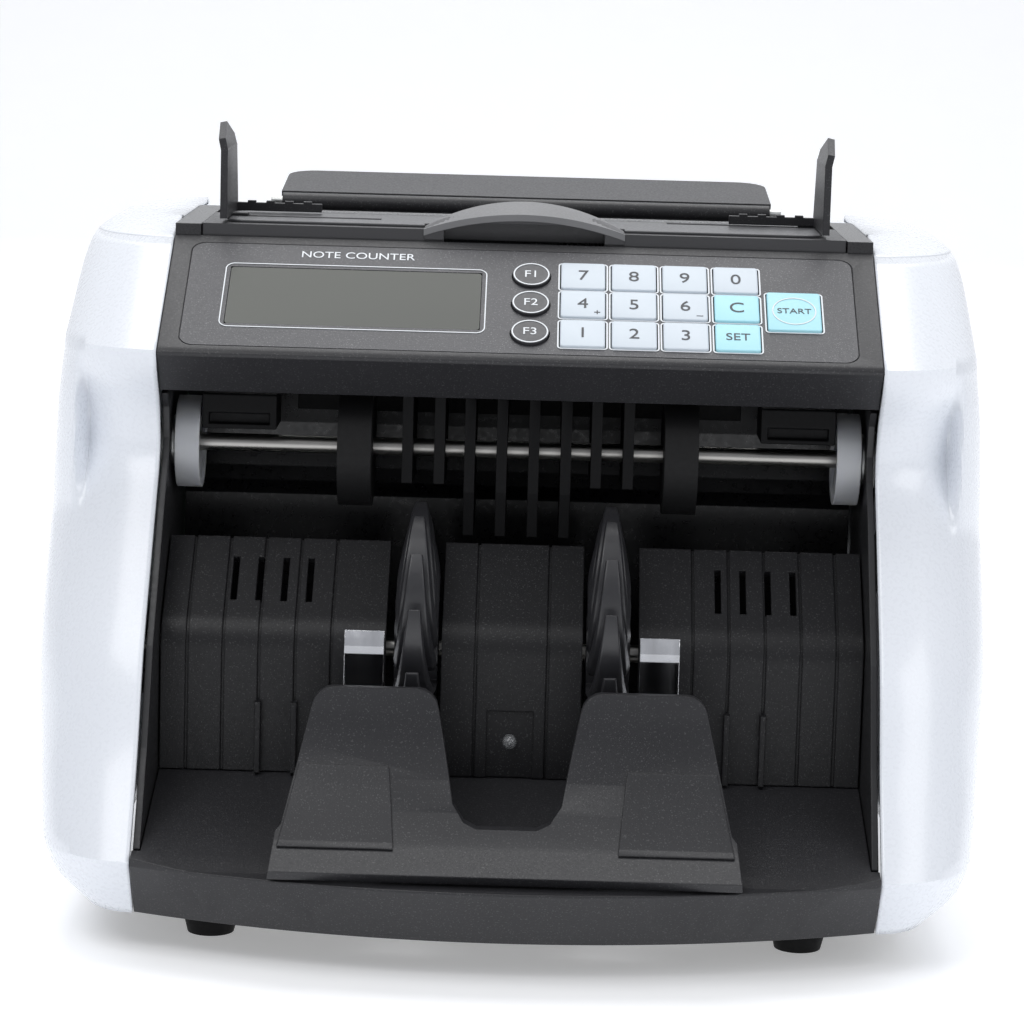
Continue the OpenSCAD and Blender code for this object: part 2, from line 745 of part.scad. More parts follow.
module drive_belt() {
    pulleys = [[motor_axis, 8], [feed_axis, pulley_r], [pickup_axis, pulley_r]];
    color(satin_black) translate([107, 0, 0]) along_x(5) difference() {
        hull() for (p = pulleys) translate(p[0]) circle(p[1] + 1.3, $fn = 48);
        hull() for (p = pulleys) translate(p[0]) circle(p[1] + 0.25, $fn = 48);
    }
}

module main_board() {
    color(board_green) {
        translate([-86, 96, 22]) cube([120, 1.6, 96]);
        for (x = [-76, -40, -4]) translate([x, 92, 40]) cube([24, 4, 24]);
    }
}

module transformer() {
    color([0.45, 0.42, 0.36]) {
        translate([-84, 34, 14.6]) cube([44, 50, 34]);
        translate([-78, 28, 20]) cube([32, 62, 24]);
    }
}

module power_inlet() {
    color(satin_black) difference() {
        union() {
            translate([60, 112.5, 48]) cube([28, 18, 22], center = true);
            translate([60, 121.9, 48]) cube([31, 1.2, 25], center = true);
        }
        translate([60, 116, 48]) cube([24, 14, 16.6], center = true);
    }
}

module power_switch() {
    color(satin_black) intersection() {
        translate([30, switch_axis[0], switch_axis[1]]) cube([12.8, 12, 19], center = true);
        rod(30, switch_axis, 9.9, 20);
    }
}

base_tray();
bottom_plate();
left_side_plate();
right_side_plate();
left_side_cover();
right_side_cover();
rear_cover();
top_shoulders();
control_head();
panel_overlay();
lcd_window();
lcd_module();
keypad_board();
key_at(0, 0);  // key_1
key_at(1, 0);  // key_2
key_at(2, 0);  // key_3
key_at(3, 0, key_cyan);  // key_set
key_at(0, 1);  // key_4
key_at(1, 1);  // key_5
key_at(2, 1);  // key_6
key_at(3, 1, key_cyan);  // key_c
key_at(0, 2);  // key_7
key_at(1, 2);  // key_8
key_at(2, 2);  // key_9
key_at(3, 2);  // key_0
start_key();  // key_start
round_key(2);  // key_f1
round_key(1);  // key_f2
round_key(0);  // key_f3
hopper_frame();
hopper_lid();
deck_plate();
hinge_pins();
left_guide();
right_guide();
guide_pinion();
rear_support();
cover_screws();
stack_plate();
wear_strips();
stacker_plate();
stacker_wheels();
stacker_shaft();
stacker_motor();
feed_shaft();
feed_rollers();
end_discs();
pickup_shaft();
pickup_rollers();
shaft_bearings();
rib_guide();
back_guide();
sensor_blocks();
main_motor();
drive_belt();
main_board();
transformer();
power_inlet();
power_switch();
feet();
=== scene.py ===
import bpy
import bmesh
import json
from math import asin, cos, pi, radians, sin
from mathutils import Matrix, Vector


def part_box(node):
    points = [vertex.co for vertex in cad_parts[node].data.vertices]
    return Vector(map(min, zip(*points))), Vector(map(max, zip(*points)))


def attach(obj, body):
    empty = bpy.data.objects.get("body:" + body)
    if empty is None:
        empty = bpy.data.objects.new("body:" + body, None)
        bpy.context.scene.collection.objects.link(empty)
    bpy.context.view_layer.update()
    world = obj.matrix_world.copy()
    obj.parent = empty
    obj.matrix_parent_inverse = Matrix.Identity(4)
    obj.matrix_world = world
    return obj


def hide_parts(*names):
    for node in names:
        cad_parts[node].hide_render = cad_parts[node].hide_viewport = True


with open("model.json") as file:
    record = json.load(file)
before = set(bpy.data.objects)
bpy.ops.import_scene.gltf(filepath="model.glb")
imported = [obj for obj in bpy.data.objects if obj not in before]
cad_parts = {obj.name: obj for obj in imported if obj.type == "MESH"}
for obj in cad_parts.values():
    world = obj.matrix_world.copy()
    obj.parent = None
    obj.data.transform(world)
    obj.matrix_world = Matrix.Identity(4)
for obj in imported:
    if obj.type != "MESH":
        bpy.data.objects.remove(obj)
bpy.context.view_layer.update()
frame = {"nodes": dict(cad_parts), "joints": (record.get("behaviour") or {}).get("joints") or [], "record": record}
nodes = frame["nodes"]
mm = 0.001
print("frame loaded:", len(nodes), "nodes")

# place and lens in mm, turns in degrees
cameraView = {"place": (3.6, -1006.4, 268.1), "yaw": -0.281, "down": 9.014, "roll": 1.6, "lens": 123.3}


def makeCamera(v):
    yaw, down, roll = radians(v["yaw"]), radians(v["down"]), radians(v["roll"])
    look = Vector((sin(yaw) * cos(down), cos(yaw) * cos(down), -sin(down)))
    right = Vector((cos(yaw), -sin(yaw), 0))
    low = look.cross(right)
    across = cos(roll) * right - sin(roll) * low
    up = -(sin(roll) * right + cos(roll) * low)
    turn = Matrix((across, up, -look)).transposed().to_4x4()
    camera = bpy.data.objects.new("camera", bpy.data.cameras.new("camera"))
    camera.data.lens = v["lens"]
    camera.data.sensor_width = 36
    camera.matrix_world = Matrix.Translation(Vector(v["place"]) * mm) @ turn
    bpy.context.collection.objects.link(camera)
    bpy.context.scene.camera = camera


# places, sizes and aims in metres, power in watts
studio = {
    "lights": {"keyLight": {"place": (-0.55, -0.75, 1.2), "aim": (0, 0, 0.1), "size": 0.8, "power": 7},
               "fillLight": {"place": (1.0, -0.7, 0.75), "aim": (0, 0, 0.1), "size": 0.7, "power": 4},
               "topCard": {"place": (0, 0.35, 1.1), "aim": (0, 0, 0.15), "size": 0.9, "power": 8},
               "backdropLight": {"place": (0, 1.4, 1.4), "aim": (0, 2.4, 0.3), "size": 1.6, "power": 9}},
    "worldColour": (0.93, 0.95, 1.0, 1), "worldStrength": 0.4}


def softLight(name, place, aim, size, power):
    lamp = bpy.data.lights.new(name, "AREA")
    lamp.energy = power
    lamp.shape = "RECTANGLE"
    lamp.size = lamp.size_y = size
    light = bpy.data.objects.new(name, lamp)
    toward = Vector(aim) - Vector(place)
    light.matrix_world = Matrix.Translation(place) @ toward.to_track_quat("-Z", "Y").to_matrix().to_4x4()
    bpy.context.collection.objects.link(light)


def makeStudio(c):
    for name, light in c["lights"].items():
        softLight(name, **light)
    world = bpy.data.worlds.new("studio")
    bpy.context.scene.world = world
    world.use_nodes = True
    background = world.node_tree.nodes["Background"]
    background.inputs["Color"].default_value = c["worldColour"]
    background.inputs["Strength"].default_value = c["worldStrength"]
    bpy.context.scene.view_settings.view_transform = "Standard"


# the floor's path starts at the front edge, in metres
floorShape = {"halfWidth": 5, "front": -4, "path": [(0, 6.2, 0), (0, 0.9, 0.4), (0, 0.3, 1.2), (0, 0, 3)],
              "glow": 0.32}


# pale sheet that lies under the machine and curls up behind it
def makeFloor(c):
    bm = bmesh.new()
    edge = [bm.verts.new((x, c["front"], 0)) for x in (-c["halfWidth"], c["halfWidth"])]
    bm.edges.new(edge)
    for step in c["path"]:
        grown = bmesh.ops.extrude_edge_only(bm, edges=[e for e in bm.edges if all(v in edge for v in e.verts)])
        edge = [g for g in grown["geom"] if isinstance(g, bmesh.types.BMVert)]
        bmesh.ops.translate(bm, verts=edge, vec=step)
    mesh = bpy.data.meshes.new("floor")
    bm.to_mesh(mesh)
    bm.free()
    for face in mesh.polygons:
        face.use_smooth = True
    floor = bpy.data.objects.new("floor", mesh)
    paper = moulded("floorPaper", (0.86, 0.87, 0.89), 0.7, 60, 0.02, edge=0, spread=0.01)
    glow = paper.node_tree.nodes["Principled BSDF"]
    glow.inputs["Emission Color"].default_value = (1, 1, 1, 1)
    glow.inputs["Emission Strength"].default_value = c["glow"]
    mesh.materials.append(paper)
    bpy.context.collection.objects.link(floor)


def makeTree(name):
    m = bpy.data.materials.new(name)
    m.use_nodes = True
    return m, m.node_tree, m.node_tree.nodes["Principled BSDF"]


def addNode(tree, kind, **values):
    n = tree.nodes.new(kind)
    for key, value in values.items():
        if key in n.inputs:
            n.inputs[key].default_value = value
        else:
            setattr(n, key, value)
    return n


def noiseOn(tree, scale, detail=2.0, stretch=None):
    place = tree.nodes.new("ShaderNodeTexCoord")
    noise = addNode(tree, "ShaderNodeTexNoise", Scale=scale, Detail=detail)
    if stretch:
        mapping = addNode(tree, "ShaderNodeMapping", Scale=stretch)
        tree.links.new(place.outputs["Object"], mapping.inputs["Vector"])
        tree.links.new(mapping.outputs["Vector"], noise.inputs["Vector"])
    else:
        tree.links.new(place.outputs["Object"], noise.inputs["Vector"])
    return noise.outputs["Fac"]


def rampFrom(tree, value, stops):
    ramp = tree.nodes.new("ShaderNodeValToRGB")
    tree.links.new(value, ramp.inputs["Fac"])
    items = ramp.color_ramp.elements
    while len(items) < len(stops):
        items.new(0.5)
    for item, (at, c) in zip(items, stops):
        item.position = at
        item.color = (*c, 1) if len(c) == 3 else c
    return ramp.outputs["Color"]


def rangeFrom(tree, value, low, high):
    spread = addNode(tree, "ShaderNodeMapRange")
    spread.inputs["To Min"].default_value = low
    spread.inputs["To Max"].default_value = high
    spread.inputs["From Min"].default_value = 0.3
    spread.inputs["From Max"].default_value = 0.7
    tree.links.new(value, spread.inputs["Value"])
    return spread.outputs["Result"]


# edge softening and grain go into one normal
def surface(tree, shader, value, strength, depth, edge):
    bump = addNode(tree, "ShaderNodeBump", Strength=strength, Distance=depth)
    tree.links.new(value, bump.inputs["Height"])
    if edge:
        soft = addNode(tree, "ShaderNodeBevel", samples=4, Radius=edge)
        tree.links.new(soft.outputs["Normal"], bump.inputs["Normal"])
    tree.links.new(bump.outputs["Normal"], shader.inputs["Normal"])


def tinted(c, k):
    return tuple(min(1.0, x * k) for x in c)


# moulded plastic: slight drift of colour, grain, and glints where sparkle is given
def moulded(name, colour, rough, grain=1400, strength=0.25, sparkle=0, edge=0.0005, coat=0, spread=0.08,
            shine=0.5):
    m, tree, shader = makeTree(name)
    drift = noiseOn(tree, 35, 3)
    base = rampFrom(tree, drift, [(0.3, tinted(colour, 1 - spread)), (0.7, tinted(colour, 1 + spread))])
    fine = noiseOn(tree, grain, 2)
    if sparkle:
        dots = rampFrom(tree, noiseOn(tree, grain * 1.6, 0), [(0.69, (0, 0, 0)), (0.74, (1, 1, 1))])
        mix = addNode(tree, "ShaderNodeMix", data_type="RGBA")
        mix.inputs[7].default_value = (sparkle, sparkle, sparkle * 1.05, 1)
        tree.links.new(dots, mix.inputs[0])
        tree.links.new(base, mix.inputs[6])
        base = mix.outputs[2]
    tree.links.new(base, shader.inputs["Base Color"])
    tree.links.new(rangeFrom(tree, fine, rough - 0.05, rough + 0.07), shader.inputs["Roughness"])
    surface(tree, shader, fine, strength, 0.0001, edge)
    shader.inputs["Coat Weight"].default_value = coat
    shader.inputs["Coat Roughness"].default_value = 0.12
    shader.inputs["Specular IOR Level"].default_value = shine
    return m


def metal(name, colour, rough, stretch, edge=0.0003):
    m, tree, shader = makeTree(name)
    lines = noiseOn(tree, 220, 4, stretch)
    tree.links.new(rampFrom(tree, lines, [(0.3, tinted(colour, 0.82)), (0.7, tinted(colour, 1.08))]),
                   shader.inputs["Base Color"])
    tree.links.new(rangeFrom(tree, lines, rough - 0.05, rough + 0.1), shader.inputs["Roughness"])
    surface(tree, shader, lines, 0.08, 0.00005, edge)
    shader.inputs["Metallic"].default_value = 1
    return m


def nylonFinish(name):
    m = moulded(name, (0.4, 0.41, 0.43), 0.4, 900, 0.08, spread=0.03)
    shader = m.node_tree.nodes["Principled BSDF"]
    shader.inputs["Subsurface Weight"].default_value = 0.6
    shader.inputs["Subsurface Radius"].default_value = (0.004, 0.004, 0.005)
    shader.inputs["Subsurface Scale"].default_value = 1
    return m


def boardFinish(name):
    m, tree, shader = makeTree(name)
    place = tree.nodes.new("ShaderNodeTexCoord")
    tracks = addNode(tree, "ShaderNodeTexBrick", Scale=160)
    tracks.inputs["Color1"].default_value = (0.02, 0.16, 0.07, 1)
    tracks.inputs["Color2"].default_value = (0.03, 0.2, 0.09, 1)
    tracks.inputs["Mortar"].default_value = (0.05, 0.3, 0.14, 1)
    tree.links.new(place.outputs["Object"], tracks.inputs["Vector"])
    tree.links.new(tracks.outputs["Color"], shader.inputs["Base Color"])
    surface(tree, shader, tracks.outputs["Fac"], 0.3, 0.0001, 0)
    shader.inputs["Roughness"].default_value = 0.4
    return m


def displayFinish(name):
    m, tree, shader = makeTree(name)
    drift = noiseOn(tree, 12, 2, (0.3, 1, 1))
    tree.links.new(rampFrom(tree, drift, [(0.35, (0.018, 0.021, 0.016)), (0.65, (0.042, 0.047, 0.036))]),
                   shader.inputs["Base Color"])
    tree.links.new(rangeFrom(tree, drift, 0.12, 0.2), shader.inputs["Roughness"])
    surface(tree, shader, noiseOn(tree, 300, 1), 0.02, 0.0001, 0)
    shader.inputs["Specular IOR Level"].default_value = 0.3
    return m


finishes = {
    "white_shell": moulded("whiteShell", (0.76, 0.79, 0.84), 0.28, 900, 0.004, edge=0, coat=0.3, spread=0.004),
    "black_moulding": moulded("blackMoulding", (0.009, 0.009, 0.0105), 0.42, 1500, 0.3, 0.04, shine=0.35),
    "charcoal_moulding": moulded("charcoalMoulding", (0.019, 0.019, 0.0215), 0.4, 1500, 0.3, 0.05, shine=0.4),
    "deck_satin": moulded("deckSatin", (0.07, 0.071, 0.076), 0.36, 1300, 0.2),
    "panel_film": moulded("panelFilm", (0.028, 0.028, 0.034), 0.42, 1700, 0.3, 0.1, edge=0.0002),
    "lcd_glass": displayFinish("displayGlass"),
    "lcd_unit": moulded("displayUnit", (0.2, 0.22, 0.18), 0.3, 900, 0.1),
    "circuit_board": boardFinish("circuitBoard"),
    "key_light": moulded("keyLight", (0.54, 0.6, 0.66), 0.42, 1200, 0.1, edge=0.0004, spread=0.02),
    "key_cyan": moulded("keyCyan", (0.36, 0.68, 0.77), 0.42, 1200, 0.1, edge=0.0004, spread=0.02),
    "key_dark": moulded("keyDark", (0.04, 0.04, 0.045), 0.42, 1200, 0.2, edge=0.0004),
    "painted_steel": moulded("paintedSteel", (0.018, 0.018, 0.02), 0.4, 800, 0.3),
    "zinc_steel": metal("zincSteel", (0.6, 0.61, 0.6), 0.32, (1, 1, 1)),
    "ground_steel": metal("groundSteel", (0.42, 0.41, 0.39), 0.28, (0.05, 1, 1)),
    "polished_steel": metal("polishedSteel", (0.86, 0.87, 0.9), 0.1, (1, 1, 0.05)),
    "nylon": nylonFinish("nylon"),
    "roller_rubber": moulded("rollerRubber", (0.007, 0.007, 0.0075), 0.6, 700, 0.4, shine=0.25),
    # back guide plate: really a dark glossy plate, made near-black as painted shade deep in the bay
    "back_gloss": moulded("backGlossAndShade", (0.003, 0.003, 0.004), 0.3, 600, 0.04),
    "motor_can": metal("motorCan", (0.4, 0.41, 0.43), 0.4, (1, 1, 1)),
    "core_steel": moulded("coreSteel", (0.2, 0.18, 0.14), 0.5, 500, 0.5),
    "power_black": moulded("powerBlack", (0.02, 0.02, 0.02), 0.35, 1200, 0.2),
}
# darker, less shiny copy of the black moulding for parts deep in the bay: painted shade
bayShadeBlack = moulded("bayShadeBlack", (0.003, 0.003, 0.0035), 0.5, 1200, 0.2, shine=0.15)
blackGloss = moulded("blackGloss", (0.016, 0.016, 0.018), 0.28, 1400, 0.15)
bladeBlack = moulded("bladeBlack", (0.022, 0.022, 0.025), 0.34, 900, 0.1, shine=0.6)
deckGrey = moulded("deckGrey", (0.035, 0.035, 0.038), 0.4, 1400, 0.25)
archGrey = moulded("archGrey", (0.16, 0.161, 0.166), 0.4, 1400, 0.15, edge=0.0003)
printWhite = moulded("printWhite", (0.72, 0.75, 0.78), 0.45, 900, 0.05, edge=0, spread=0.03)
printBlack = moulded("printBlack", (0.03, 0.033, 0.04), 0.5, 900, 0.05, edge=0)


def finishNodes():
    for row in frame["record"]["subparts"]:
        piece = nodes[row["node"]]
        piece.data.materials.clear()
        piece.data.materials.append(finishes[row["material_slot"]])


slotOf = {row["node"]: row["material_slot"] for row in frame["record"]["subparts"]}
bodyOf = {n: body for body, members in frame["record"]["behaviour"]["bodies"].items() for n in members}


# puts a finished bmesh in the scene on a body; turned says that its faces already point outwards
def place(bm, name, body, slotName, material=None, swaps=(), smooth=40, turned=False):
    if not turned:
        bmesh.ops.recalc_face_normals(bm, faces=bm.faces)
    mesh = bpy.data.meshes.new(name)
    bm.to_mesh(mesh)
    bm.free()
    mesh.materials.append(material or finishes[slotName])
    for face in mesh.polygons:
        face.use_smooth = smooth > 0
    if smooth:
        mesh.set_sharp_from_angle(angle=radians(smooth))
    piece = bpy.data.objects.new(name, mesh)
    bpy.context.collection.objects.link(piece)
    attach(piece, body)
    if swaps:
        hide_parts(*swaps)
    return piece


def addBevel(piece, width, segments=3, angle=35):
    bevel = piece.modifiers.new("edges", "BEVEL")
    bevel.width = width
    bevel.segments = segments
    bevel.limit_method = "ANGLE"
    bevel.angle_limit = radians(angle)
    bevel.harden_normals = True


# merged copy of a CAD node's mesh, with its flat faces whole again
def copied(node):
    bm = bmesh.new()
    bm.from_mesh(nodes[node].data)
    bmesh.ops.remove_doubles(bm, verts=bm.verts, dist=0.02 * mm)
    bmesh.ops.dissolve_limit(bm, angle_limit=radians(0.6), verts=bm.verts, edges=bm.edges)
    return bm


# the side surface in mm: runs of (height, value), each run smooth and joined to the next at a corner
coverShape = {
    "front": [[(11, -92), (27.6, -102.4)],
              [(27.6, -102.4), (52.3, -86.2), (78.2, -74.3), (101.4, -57.2), (124.7, -38.9)],
              [(124.7, -38.9), (131.3, -36.4)],
              [(131.3, -36.4), (140.6, -39.2), (155, -50), (158.7, -50.8)],
              [(158.7, -50.8), (186, -6.2)],
              [(186, -6.2), (187.8, 2), (189.4, 10), (190.4, 18)]],
    "rear": [[(11, 112), (20, 119), (30, 122.4), (165, 122.4), (180, 119), (186, 112), (190.4, 96)]],
    "bulge": [[(11, 14), (20, 25), (32, 28), (45, 30), (75, 32.8), (108, 33.2), (140, 31.6), (158, 29.4),
               (177, 28), (184, 26.4), (187.4, 23.6), (189.4, 19), (190.4, 14)]],
    "bayWall": 100, "rimEdge": -50.3, "frontRound": 46, "frontDepth": 36, "rearRound": 26, "sideStart": 40,
    "scoop": (110, 158), "ledge": (20.5, 24.5), "wall": 2.3, "roofRise": 0.25,
    "frontSteps": 45, "sideSteps": 6, "rearSteps": 10,
    "lowerLevels": [(11, 27.6, 1.6), (27.6, 158.7, 3.2), (158.7, 185.95, 2.4)],  # from, to, step
    "upperLevels": [(186, 190.4, 0.4)]}


# smooth lookup that never overshoots the values it passes through
def along(runs, z):
    run = next((r for r in runs if z <= r[-1][0]), runs[-1])
    i = max(0, min(len(run) - 2, sum(1 for q in run if q[0] <= z) - 1))
    slopes = [(b[1] - a[1]) / (b[0] - a[0]) for a, b in zip(run, run[1:])]

    def tangent(k):
        if k in (0, len(run) - 1):
            return slopes[min(k, len(slopes) - 1)]
        a, b = slopes[k - 1], slopes[k]
        return 0 if a * b <= 0 else 2 * a * b / (a + b)

    (z0, v0), (z1, v1) = run[i], run[i + 1]
    h = z1 - z0
    t = min(1, max(0, (z - z0) / h))
    return (v0 * (1 + 2 * t) * (1 - t) ** 2 + v1 * t * t * (3 - 2 * t)
            + h * (tangent(i) * t * (1 - t) ** 2 - tangent(i + 1) * t * t * (1 - t)))


def easeStep(x, low, high):
    t = min(1, max(0, (x - low) / (high - low)))
    return t * t * (3 - 2 * t)


# points round the cover at one height, from the bay's edge round the side to the rear panel
def coverCurve(z, c):
    w, front, rear = (along(c[k], z) for k in ("bulge", "front", "rear"))
    outer = min(front, c["rimEdge"]) if c["scoop"][0] < z < c["scoop"][1] else front
    curve = []
    for k in range(c["frontSteps"] + 1):
        t = k / c["frontSteps"] * pi / 2
        u = w * sin(t)
        y = outer + c["frontRound"] * (1 - cos(t)) * w / c["frontDepth"]
        curve.append((u, y + (front - outer) * (1 - easeStep(u, *c["ledge"]))))
    last = curve[-1][1]
    curve += [(w, last + (c["sideStart"] - last) * k / c["sideSteps"]) for k in range(1, c["sideSteps"] + 1)]
    for k in range(c["rearSteps"] + 1):
        a = k / c["rearSteps"] * pi / 2
        curve.append((w - c["rearRound"] / 2 * (1 - cos(a)), rear - c["rearRound"] * (1 - sin(a))))
    curve.append((0, rear))
    return curve


def coverLevels(bands):
    levels = []
    for low, high, step in bands:
        count = max(1, round((high - low) / step))
        levels += [low + (high - low) * k / count for k in range(count)]
    return levels + [bands[-1][1]]


def makeCover(name, node, side, levels, c, roof=False):
    bm = bmesh.new()
    chains = []
    for z in levels:
        ring = [bm.verts.new((side * (c["bayWall"] + u) * mm, y * mm, z * mm)) for u, y in coverCurve(z, c)]
        chains.append([bm.edges.new(pair) for pair in zip(ring, ring[1:])])
    for a, b in zip(chains, chains[1:]):
        bmesh.ops.bridge_loops(bm, edges=a + b)
    if roof:
        top = bmesh.ops.extrude_edge_only(bm, edges=chains[-1])["geom"]
        for v in (g for g in top if isinstance(g, bmesh.types.BMVert)):
            v.co.x = side * c["bayWall"] * mm
            v.co.z += c["roofRise"] * mm
        bmesh.ops.remove_doubles(bm, verts=bm.verts, dist=0.01 * mm)
    bmesh.ops.recalc_face_normals(bm, faces=bm.faces)
    if sum(f.normal.x * side * f.calc_area() for f in bm.faces) < 0:
        bmesh.ops.reverse_faces(bm, faces=bm.faces)
    piece = place(bm, name, bodyOf[node], slotOf[node], swaps=[node], smooth=50, turned=True)
    wall = piece.modifiers.new("wall", "SOLIDIFY")
    wall.thickness = c["wall"] * mm
    wall.offset = -1


def makeCovers(c):
    for side, word in ((-1, "left"), (1, "right")):
        makeCover(word + "CoverShell", word + "_side_cover", side, coverLevels(c["lowerLevels"]), c)
        makeCover(word + "Shoulder", "top_shoulders", side, coverLevels(c["upperLevels"]), c, roof=True)


makeCamera(cameraView)
makeStudio(studio)
makeFloor(floorShape)
finishNodes()
makeCovers(coverShape)
print("camera, finishes and covers made")


# width in mm of each moulding's rounded edges
edgeWidth = {"stacker_plate": 1.3, "control_head": 1.1, "base_tray": 0.7, "hopper_lid": 0.6, "rear_support": 1.0,
             "left_guide": 0.35, "right_guide": 0.35, "deck_plate": 0.25, "rib_guide": 0.4, "hopper_frame": 0.4,
             "power_inlet": 0.5, "sensor_blocks": 0.5, "rear_cover": 0.4}
# materials used instead of a node's slot material; the near-black one on the rib guide and sensor blocks is
# painted shade for parts deep in the bay
finishAndShadeOverride = {"rib_guide": bayShadeBlack, "sensor_blocks": bayShadeBlack, "hopper_lid": deckGrey,
             "hopper_frame": blackGloss, "base_tray": finishes["charcoal_moulding"]}


def makeRounded():
    for node, width in edgeWidth.items():
        piece = place(copied(node), node + "_moulding", bodyOf[node], slotOf[node], finishAndShadeOverride.get(node), [node],
                      32)
        addBevel(piece, width * mm)


# the ribbed sheet behind the notes, in mm: its front line runs from the foot over the bend and up the slope;
# recess is half its width, its top and its depth
sheetShape = {"face": -54.5, "foot": 42.2, "bendHeight": 76.3, "bendRadius": 12, "slope": 129, "top": (-30, 104),
              "flatStops": (50, 55, 70), "bendSteps": 12, "edge": 0.01, "ventFoot": 80,
              "thick": 2.4, "half": 97.2, "wheelSlot": (19.5, 35),
              "grooves": (50, 60, 70, 80, 90), "middleGrooves": 10,
              "grooveWidth": 0.8, "grooveDepth": 0.7, "ribs": (60, 70), "ribTop": 62.2, "ribOut": 2.4,
              "recess": (6.5, 61, 1), "vents": (57, 64, 71, 78), "ventWidth": 1.8, "ventRange": (-46.5, -35.2)}


# points of the sheet's front line as (y, z, outward y, outward z)
def sheetLine(c):
    below, above, upper = c["flatStops"]
    brims = [z + d for z in (c["recess"][1], c["ribTop"]) for d in (0, 0.1)]
    line = [(c["face"], z, -1, 0) for z in (c["foot"], below, above, *brims, upper)]
    cy, cz, r = c["face"] + c["bendRadius"], c["bendHeight"], c["bendRadius"]
    for k in range(c["bendSteps"] + 1):
        a = radians(180 + (c["slope"] - 180) * k / c["bendSteps"])
        line.append((cy + r * cos(a), cz + r * sin(a), cos(a), sin(a)))
    y0, z0, ny, nz = line[-1]
    y1, z1 = c["top"]
    for y in (*c["ventRange"], y1):
        k = (y - y0) / (y1 - y0)
        if k > 0.02:
            line.append((y, z0 + (z1 - z0) * k, ny, nz))
    return line


# how far the front stands out from the line at x, for one point of the line
def sheetOut(x, z, c):
    x = abs(x)
    near = [g for g in (*c["grooves"], c["middleGrooves"]) if abs(x - g) < c["grooveWidth"] / 2]
    if z <= c["ribTop"] and [g for g in c["ribs"] if abs(x - g) < c["grooveWidth"]]:
        return c["ribOut"]
    if near:
        return -c["grooveDepth"]
    return -c["recess"][2] if z <= c["recess"][1] and x < c["recess"][0] else 0


def makeStackSheet(c):
    line = sheetLine(c)
    cuts = [(g, c["grooveWidth"] / 2) for g in (*c["grooves"], c["middleGrooves"])]
    cuts += [(g, c["grooveWidth"]) for g in c["ribs"]] + [(g, c["ventWidth"] / 2) for g in c["vents"]]
    cuts += [(0, c["recess"][0])]
    edges = sorted({side * (g + way * (w + near)) for g, w in cuts for side in (-1, 1) for way in (-1, 1)
                    for near in (-c["edge"], c["edge"])})
    bm = bmesh.new()
    low, high = c["wheelSlot"]
    for start, end in ((-c["half"], -high), (-low, low), (high, c["half"])):
        loops = []
        for x in [start] + [e for e in edges if start < e < end] + [end]:
            front = [(y + ny * sheetOut(x, z, c), z + nz * sheetOut(x, z, c)) for y, z, ny, nz in line]
            back = [(y - ny * c["thick"], z - nz * c["thick"]) for y, z, ny, nz in reversed(line)]
            ring = [bm.verts.new((x * mm, y * mm, z * mm)) for y, z in front + back]
            loops.append([bm.edges.new((ring[k], ring[(k + 1) % len(ring)])) for k in range(len(ring))])
            if x in (start, end):
                bm.faces.new(ring)
        for a, b in zip(loops, loops[1:]):
            bmesh.ops.bridge_loops(bm, edges=a + b)
    openVents(bm, c)
    place(bm, "stackSheet", bodyOf["stack_plate"], slotOf["stack_plate"], swaps=["stack_plate"], smooth=25)


# cuts the slots in the slope: both skins go between the slot's edges and a wall joins them
def openVents(bm, c):
    y0, y1 = (y * mm for y in c["ventRange"])
    for vent in (s * g for g in c["vents"] for s in (-1, 1)):
        inside = []
        for face in bm.faces:
            mid = face.calc_center_median()
            across = abs(mid.x - vent * mm) < c["ventWidth"] * 0.45 * mm
            if across and y0 < mid.y < y1 and mid.z > c["ventFoot"] * mm:
                inside.append(face)
        rim = {e for f in inside for e in f.edges if sum(g in inside for g in e.link_faces) == 1}
        bmesh.ops.delete(bm, geom=inside, context="FACES")
        rim = [e for e in rim if e.is_valid]
        if rim:
            bmesh.ops.bridge_loops(bm, edges=rim)


# lighter band over the finger opening in the hopper's front edge
archShape = {"half": 28.8, "deck": 190.2, "front": (-4.2, 4.85), "back": (7.4, 7.85), "thick": 1.9, "steps": 40}


def makeArchBand(c):
    bm = bmesh.new()
    chains = []
    for y, rise in (c["front"], c["back"]):
        r = (c["half"] ** 2 + rise ** 2) / (2 * rise)
        reach = asin(c["half"] / r)
        chain = []
        for k in range(c["steps"] + 1):
            a = reach * (2 * k / c["steps"] - 1)
            chain.append(bm.verts.new((r * sin(a) * mm, y * mm, (c["deck"] + rise - r + r * cos(a)) * mm)))
        chains.append([bm.edges.new(pair) for pair in zip(chain, chain[1:])])
    bmesh.ops.bridge_loops(bm, edges=chains[0] + chains[1])
    for face in bm.faces:
        if face.normal.z < 0:
            face.normal_flip()
    lower = bmesh.ops.extrude_face_region(bm, geom=bm.faces[:])["geom"]
    bmesh.ops.translate(bm, verts=[g for g in lower if isinstance(g, bmesh.types.BMVert)],
                        vec=(0, 0, -c["thick"] * mm))
    place(bm, "archBand", bodyOf["hopper_lid"], slotOf["hopper_lid"], archGrey, smooth=30)


# stacking wheel, in mm and degrees; a blade starts on the hub and sweeps back as it runs out to the tip
wheelShape = {"blades": 15, "hub": 13.0, "start": 12.0, "sections": 12, "sweep": 62, "rootWidth": 12.2,
              "tipWidth": 3.6, "taperFrom": 0.28, "rootThick": 2.25, "tipThick": 1.05, "near": 0.02, "bend": 1.3,
              "sweepBend": 1.15, "crest": 0.82, "inset": 0.5, "sideGap": 0.1, "edge": 0.3}


# radius and turn along a blade, k from 0 at the hub to 1 at the tip
def bladePoint(w, tip, k):
    r = w["start"] * mm + (tip - w["start"] * mm) * (1 - (1 - k) ** w["bend"])
    a = -radians(w["sweep"]) * k ** w["sweepBend"]
    return Vector((0, r * cos(a), r * sin(a)))


